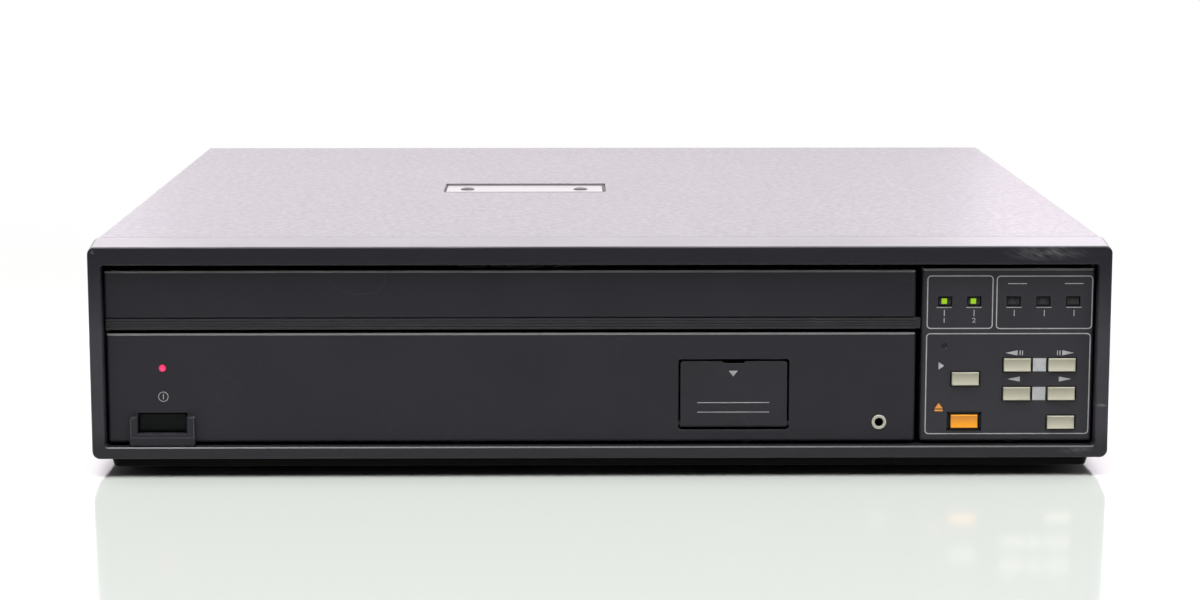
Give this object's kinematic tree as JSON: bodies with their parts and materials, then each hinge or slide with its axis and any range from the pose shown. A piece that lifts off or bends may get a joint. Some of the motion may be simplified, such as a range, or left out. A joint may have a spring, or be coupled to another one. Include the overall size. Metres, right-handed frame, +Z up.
{
  "type": "laserdisc player",
  "caption": "Front-loading disc player with a sliding tray, lifting disc drive, hinged function door, power button and transport keys.",
  "frame": {"origin": "on the floor under the middle of the whole player", "axes": "+X to the player's right seen from the front, -Y out of the front, +Z up"},
  "size_m": [0.4252, 0.402, 0.0965],
  "materials": {
    "charcoal_plastic": "fine grained moulding",
    "trim_plastic": "satin ribbed",
    "cover_paint": "textured charcoal paint",
    "black_paint": "black satin paint",
    "black_rubber": "moulded",
    "plate_steel": "smooth charcoal paint",
    "screw_steel": "zinc plated",
    "chassis_steel": "zinc plated sheet",
    "chassis_paint": "black painted sheet",
    "tray_plastic": "dark grained moulding",
    "rail_plastic": "acetal",
    "clamper_plastic": "moulded",
    "button_plastic": "gloss black",
    "key_plastic": "beige grey moulding",
    "orange_plastic": "orange moulding",
    "red_lamp": "lit",
    "lamp_window": "smoked",
    "jack_metal": "nickel plated",
    "switch_plastic": "black moulding",
    "slide_plastic": "white moulding",
    "board_laminate": "green laminate",
    "core_steel": "laminated",
    "sink_aluminium": "black anodised",
    "motor_steel": "drawn can",
    "pulley_brass": "turned",
    "turntable_aluminium": "turned",
    "carriage_alloy": "die cast",
    "lens_glass": "coated"
  },
  "bodies": {
    "player": {"front_bezel": "charcoal_plastic", "lower_panel": "charcoal_plastic", "control_panel": "charcoal_plastic", "function_switch_block": "switch_plastic", "power_switch": "switch_plastic", "power_lamp": "red_lamp", "remote_jack": "jack_metal", "key_board": "board_laminate", "indicator_lamps": "lamp_window", "top_cover": "cover_paint", "access_plate": "plate_steel", "case_screws": "screw_steel", "base_pan": "black_paint", "feet": "black_rubber", "rear_panel": "cover_paint", "side_frames": "chassis_steel", "front_plate": "chassis_steel", "tray_rails": "rail_plastic", "clamp_bridge": "chassis_steel", "power_transformer": "core_steel", "power_board": "board_laminate", "heat_sink": "sink_aluminium", "circuit_boards": "board_laminate", "ac_inlet": "switch_plastic", "video_sockets": "jack_metal", "audio_sockets": "switch_plastic", "interface_connector": "jack_metal", "loading_bracket": "chassis_steel", "loading_motor": "motor_steel", "drive_belt": "black_rubber", "guide_posts": "screw_steel"},
    "tray": {"disc_tray": "tray_plastic", "tray_rack": "tray_plastic", "tray_front": "charcoal_plastic", "tray_trim_strip": "trim_plastic"},
    "drive_gear": {"drive_gear": "rail_plastic"},
    "loading_pulley": {"loading_pulley": "rail_plastic"},
    "motor_pulley": {"motor_pulley": "pulley_brass"},
    "lift": {"lift_chassis": "chassis_paint", "guide_rods": "screw_steel", "spindle_motor": "motor_steel", "sled_motor": "motor_steel"},
    "lift_slider": {"lift_slider": "chassis_steel"},
    "spindle": {"turntable": "turntable_aluminium"},
    "pickup": {"pickup_carriage": "carriage_alloy", "pickup_lens": "lens_glass"},
    "sled_pinion": {"sled_pinion": "rail_plastic"},
    "clamper": {"clamper": "clamper_plastic"},
    "function_door": {"function_door": "charcoal_plastic"},
    "power_button": {"power_button": "button_plastic"},
    "play_key": {"play_key": "key_plastic"},
    "reject_key": {"reject_key": "orange_plastic"},
    "step_reverse_key": {"step_reverse_key": "key_plastic"},
    "step_forward_key": {"step_forward_key": "key_plastic"},
    "scan_reverse_key": {"scan_reverse_key": "key_plastic"},
    "scan_forward_key": {"scan_forward_key": "key_plastic"},
    "display_key": {"display_key": "key_plastic"},
    "function_slide_1": {"function_slide_1": "slide_plastic"},
    "function_slide_2": {"function_slide_2": "slide_plastic"},
    "function_slide_3": {"function_slide_3": "slide_plastic"}
  },
  "joints": [
    {"name": "tray_slide", "type": "slide", "parent": "player", "child": "tray", "axis": [0, -1, 0], "range_m": [0, 0.3]},
    {"name": "drive_gear_spin", "type": "hinge", "parent": "player", "child": "drive_gear", "pos_m": [-0.1778, -0.143, 0.055], "axis": [0, 0, 1], "range_deg": [-5, 1442.4]},
    {"name": "loading_pulley_spin", "type": "hinge", "parent": "player", "child": "loading_pulley", "pos_m": [-0.1514, -0.1232, 0.047], "axis": [0, 0, 1], "range_deg": [-3829.7, 5]},
    {"name": "motor_pulley_spin", "type": "hinge", "parent": "player", "child": "motor_pulley", "pos_m": [-0.108, -0.138, 0.0435], "axis": [0, 0, 1], "range_deg": [-12742.4, 5]},
    {"name": "mechanism_lift", "type": "slide", "parent": "player", "child": "lift", "axis": [0, 0, 1], "range_m": [0, 0.012]},
    {"name": "lift_slider_move", "type": "slide", "parent": "player", "child": "lift_slider", "axis": [0, 1, 0], "range_m": [0, 0.0242]},
    {"name": "spindle_spin", "type": "hinge", "parent": "lift", "child": "spindle", "pos_m": [-0.037, -0.022, 0.0575], "axis": [0, 0, 1], "continuous": true},
    {"name": "pickup_slide", "type": "slide", "parent": "lift", "child": "pickup", "axis": [0, 1, 0], "range_m": [0, 0.088]},
    {"name": "sled_pinion_spin", "type": "hinge", "parent": "lift", "child": "sled_pinion", "pos_m": [0.0202, 0.06, 0.047], "axis": [0, 0, 1], "range_deg": [-850.3, 5]},
    {"name": "clamper_spin", "type": "hinge", "parent": "player", "child": "clamper", "pos_m": [-0.037, -0.022, 0.082], "axis": [0, 0, 1], "continuous": true},
    {"name": "function_door_hinge", "type": "hinge", "parent": "player", "child": "function_door", "pos_m": [0.05515, -0.1954, 0.0217], "axis": [1, 0, 0], "range_deg": [0, 90]},
    {"name": "power_button_press", "type": "slide", "parent": "player", "child": "power_button", "axis": [0, 1, 0], "range_m": [0, 0.004], "stiffness_N_per_m": 600, "springref_m": -0.002},
    {"name": "play_key_press", "type": "slide", "parent": "player", "child": "play_key", "axis": [0, 1, 0], "range_m": [0, 0.001], "stiffness_N_per_m": 400, "springref_m": -0.002},
    {"name": "reject_key_press", "type": "slide", "parent": "player", "child": "reject_key", "axis": [0, 1, 0], "range_m": [0, 0.001], "stiffness_N_per_m": 400, "springref_m": -0.002},
    {"name": "step_reverse_key_press", "type": "slide", "parent": "player", "child": "step_reverse_key", "axis": [0, 1, 0], "range_m": [0, 0.001], "stiffness_N_per_m": 400, "springref_m": -0.002},
    {"name": "step_forward_key_press", "type": "slide", "parent": "player", "child": "step_forward_key", "axis": [0, 1, 0], "range_m": [0, 0.001], "stiffness_N_per_m": 400, "springref_m": -0.002},
    {"name": "scan_reverse_key_press", "type": "slide", "parent": "player", "child": "scan_reverse_key", "axis": [0, 1, 0], "range_m": [0, 0.001], "stiffness_N_per_m": 400, "springref_m": -0.002},
    {"name": "scan_forward_key_press", "type": "slide", "parent": "player", "child": "scan_forward_key", "axis": [0, 1, 0], "range_m": [0, 0.001], "stiffness_N_per_m": 400, "springref_m": -0.002},
    {"name": "display_key_press", "type": "slide", "parent": "player", "child": "display_key", "axis": [0, 1, 0], "range_m": [0, 0.001], "stiffness_N_per_m": 400, "springref_m": -0.002},
    {"name": "function_slide_1_move", "type": "slide", "parent": "player", "child": "function_slide_1", "axis": [0, 0, 1], "range_m": [0, 0.003]},
    {"name": "function_slide_2_move", "type": "slide", "parent": "player", "child": "function_slide_2", "axis": [0, 0, 1], "range_m": [0, 0.003]},
    {"name": "function_slide_3_move", "type": "slide", "parent": "player", "child": "function_slide_3", "axis": [0, 0, 1], "range_m": [0, 0.003]}
  ],
  "couplings": [
    {"joint": "drive_gear_spin", "follows": "tray_slide", "rad_per_m": 83.333},
    {"joint": "loading_pulley_spin", "follows": "tray_slide", "rad_per_m": -222.22},
    {"joint": "motor_pulley_spin", "follows": "tray_slide", "rad_per_m": -740.74},
    {"joint": "lift_slider_move", "follows": "mechanism_lift", "ratio": 2},
    {"joint": "sled_pinion_spin", "follows": "pickup_slide", "rad_per_m": -166.67}
  ]
}
